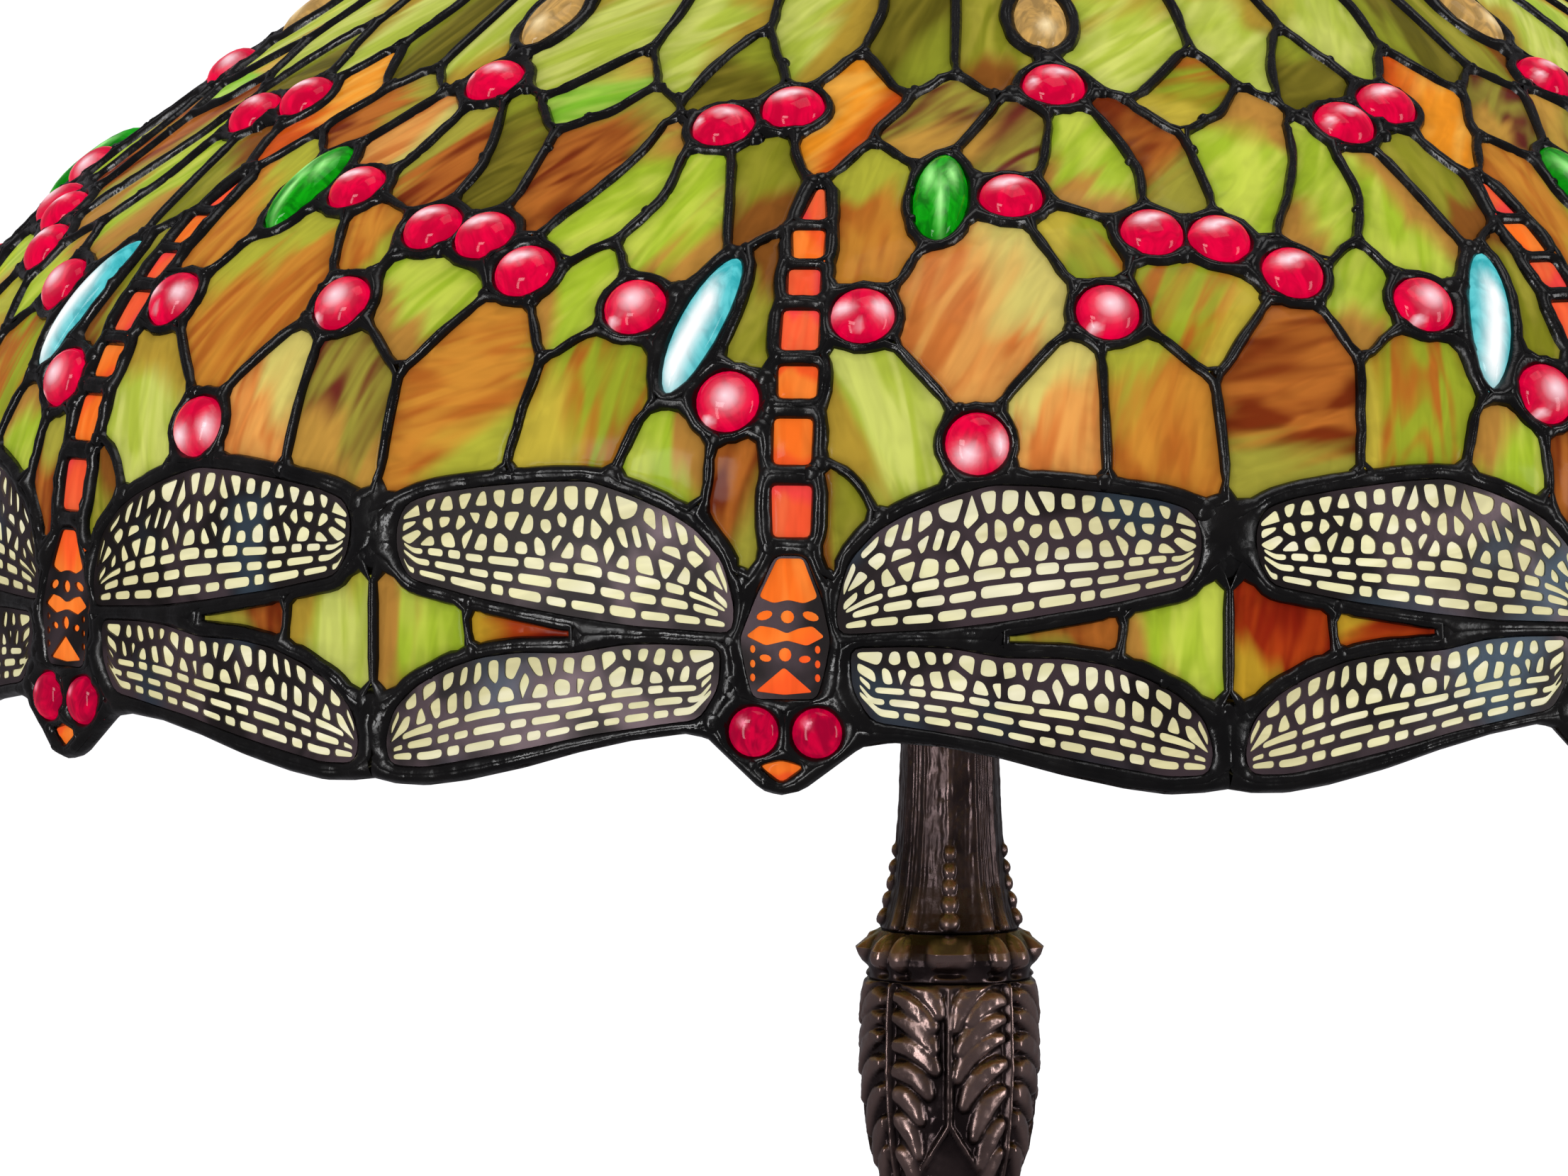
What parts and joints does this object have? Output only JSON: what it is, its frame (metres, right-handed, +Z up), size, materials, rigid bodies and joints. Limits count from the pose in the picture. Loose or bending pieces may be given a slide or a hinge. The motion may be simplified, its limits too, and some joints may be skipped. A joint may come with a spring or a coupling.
{
  "type": "stained glass table lamp",
  "caption": "Table lamp with a domed leaded glass shade of dragonflies with a scalloped rim, on a cast metal leaf column and round foot.",
  "frame": {"origin": "centre of the foot's underside, on the table", "axes": "+Z up the column; -Y towards the viewer, with a dragonfly just left of -Y; +X to the viewer's right"},
  "size_m": [0.5588, 0.5588, 0.6753],
  "materials": {
    "bronze": "patinated bronze, satin",
    "brass": "aged satin",
    "steel": "plain",
    "iron": "raw casting",
    "felt": "felt",
    "rubber": "matt",
    "insulator": "matt",
    "opal_glass": "opal, lit from inside",
    "mosaic_glass": "streaky opalescent glass in soldered lead lines, lit from inside"
  },
  "bodies": {
    "base": {"felt_pad": "felt", "base_foot": "bronze", "base_weight": "iron", "lower_nut": "steel", "lock_washer": "steel", "cord_inlet_bush": "rubber", "lower_stem": "bronze", "lower_knop": "bronze", "leaf_column": "bronze", "column_collar": "bronze", "neck": "bronze", "lamp_pipe": "brass", "neck_tube": "brass", "cluster_hub": "brass", "cluster_cover": "brass", "socket_nipple_1": "brass", "socket_nipple_2": "brass", "socket_nipple_3": "brass", "socket_cap_1": "brass", "socket_cap_2": "brass", "socket_cap_3": "brass", "socket_base_1": "insulator", "socket_base_2": "insulator", "socket_base_3": "insulator", "socket_shell_1": "brass", "socket_shell_2": "brass", "socket_shell_3": "brass", "chain_guide_1": "brass", "chain_guide_2": "brass", "chain_guide_3": "brass", "riser_tube": "brass", "wheel_nut": "brass", "shade_wheel": "brass"},
    "shade": {"shade_panel_1": "mosaic_glass", "shade_panel_2": "mosaic_glass", "shade_panel_3": "mosaic_glass", "shade_panel_4": "mosaic_glass", "shade_panel_5": "mosaic_glass", "shade_panel_6": "mosaic_glass", "shade_panel_7": "mosaic_glass", "shade_panel_8": "mosaic_glass", "crown_ring": "brass"},
    "cap": {"vented_cap": "bronze"},
    "finial_gasket": {"finial_gasket": "rubber"},
    "finial": {"finial": "bronze"},
    "bulb_1": {"bulb_cap_1": "steel", "bulb_glass_1": "opal_glass"},
    "chain_1": {"pull_chain_1": "brass", "chain_bell_1": "brass"},
    "bulb_2": {"bulb_cap_2": "steel", "bulb_glass_2": "opal_glass"},
    "chain_2": {"pull_chain_2": "brass", "chain_bell_2": "brass"},
    "bulb_3": {"bulb_cap_3": "steel", "bulb_glass_3": "opal_glass"},
    "chain_3": {"pull_chain_3": "brass", "chain_bell_3": "brass"}
  },
  "joints": [
    {"name": "shade_lift", "type": "slide", "parent": "base", "child": "shade", "axis": [0, 0, 1], "range_m": [0, 0.32]},
    {"name": "cap_lift", "type": "slide", "parent": "shade", "child": "cap", "axis": [0, 0, 1], "range_m": [0, 0.06]},
    {"name": "finial_rise", "type": "slide", "parent": "cap", "child": "finial_gasket", "axis": [0, 0, 1], "range_m": [0, 0.0152]},
    {"name": "finial_turn", "type": "hinge", "parent": "finial_gasket", "child": "finial", "pos_m": [0, 0, 0.64], "axis": [0, 0, 1], "range_deg": [0, 5760]},
    {"name": "bulb_1_out", "type": "slide", "parent": "base", "child": "bulb_1", "axis": [-0.342, -0.9397, 0], "range_m": [0, 0.036]},
    {"name": "chain_1_pull", "type": "slide", "parent": "base", "child": "chain_1", "axis": [0, 0, -1], "range_m": [0, 0.008], "stiffness_N_per_m": 300},
    {"name": "bulb_2_out", "type": "slide", "parent": "base", "child": "bulb_2", "axis": [0.9848, 0.1736, 0], "range_m": [0, 0.036]},
    {"name": "chain_2_pull", "type": "slide", "parent": "base", "child": "chain_2", "axis": [0, 0, -1], "range_m": [0, 0.008], "stiffness_N_per_m": 300},
    {"name": "bulb_3_out", "type": "slide", "parent": "base", "child": "bulb_3", "axis": [-0.6428, 0.766, 0], "range_m": [0, 0.036]},
    {"name": "chain_3_pull", "type": "slide", "parent": "base", "child": "chain_3", "axis": [0, 0, -1], "range_m": [0, 0.008], "stiffness_N_per_m": 300}
  ],
  "couplings": [
    {"joint": "finial_rise", "follows": "finial_turn", "m_per_rad": 0.00014972}
  ]
}
